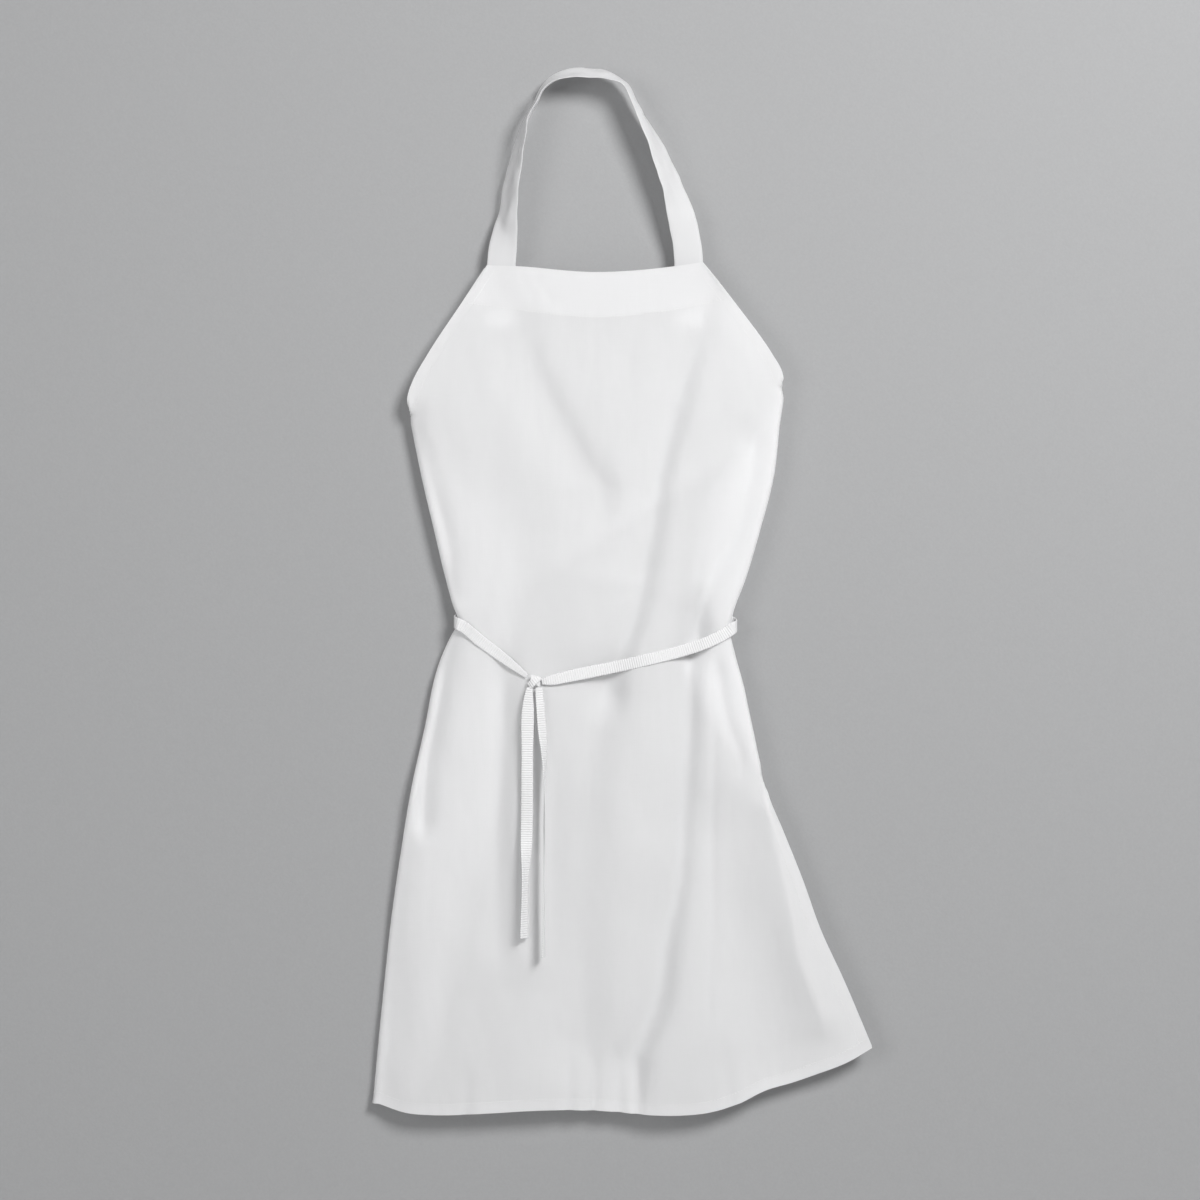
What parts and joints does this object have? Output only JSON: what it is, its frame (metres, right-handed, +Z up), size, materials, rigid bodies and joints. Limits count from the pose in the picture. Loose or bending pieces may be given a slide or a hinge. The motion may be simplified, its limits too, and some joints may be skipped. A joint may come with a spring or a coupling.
{
  "type": "bib apron",
  "caption": "Translucent woven bib apron with a faced bib, flared skirt and ribbon ties wrapped to a front knot, hanging from its neck loop",
  "frame": {"origin": "the hang point, on the inside of the top of the neck loop where a peg or hook carries it", "axes": "+Z up, +X to the right seen from the front, and the front of the apron faces -Y"},
  "size_m": [0.5, 0.0455, 1.0521],
  "materials": {
    "body_cloth": "thin translucent off-white plain weave",
    "hem_cloth": "doubled off-white plain weave",
    "strap_cloth": "folded off-white plain weave strap",
    "ribbon": "ribbed off-white grosgrain ribbon",
    "thread": "off-white sewing thread"
  },
  "bodies": {
    "neck_loop": {"neck_strap": "strap_cloth"},
    "bib": {"bib_panel": "body_cloth", "bib_facing": "hem_cloth", "armhole_hem_left": "hem_cloth", "armhole_hem_right": "hem_cloth", "bib_side_hem_left": "hem_cloth", "bib_side_hem_right": "hem_cloth", "strap_end_left": "strap_cloth", "strap_end_right": "strap_cloth", "strap_tack_left": "thread", "strap_tack_right": "thread", "waist_tie_left": "ribbon", "waist_tie_right": "ribbon", "tie_tack_left": "thread", "tie_tack_right": "thread", "knot": "ribbon"},
    "skirt": {"skirt_panel": "body_cloth", "skirt_side_hem_left": "hem_cloth", "skirt_side_hem_right": "hem_cloth", "bottom_hem": "hem_cloth"},
    "tail_left": {"tail_left": "ribbon"},
    "tail_right": {"tail_right": "ribbon"}
  },
  "joints": [
    {"name": "bib_swing", "type": "hinge", "parent": "neck_loop", "child": "bib", "pos_m": [0, 0.0048, -0.1855], "axis": [-1, 0, 0], "range_deg": [0, 60]},
    {"name": "skirt_fold", "type": "hinge", "parent": "bib", "child": "skirt", "pos_m": [0, -0.013, -0.612], "axis": [-1, 0, 0], "range_deg": [0, 60]},
    {"name": "tail_left_sway", "type": "hinge", "parent": "skirt", "child": "tail_left", "pos_m": [-0.06, -0.0115, -0.609], "axis": [0, 1, 0], "range_deg": [0, 18]},
    {"name": "tail_right_sway", "type": "hinge", "parent": "skirt", "child": "tail_right", "pos_m": [-0.051, -0.0115, -0.609], "axis": [0, 1, 0], "range_deg": [-18, 0]}
  ]
}
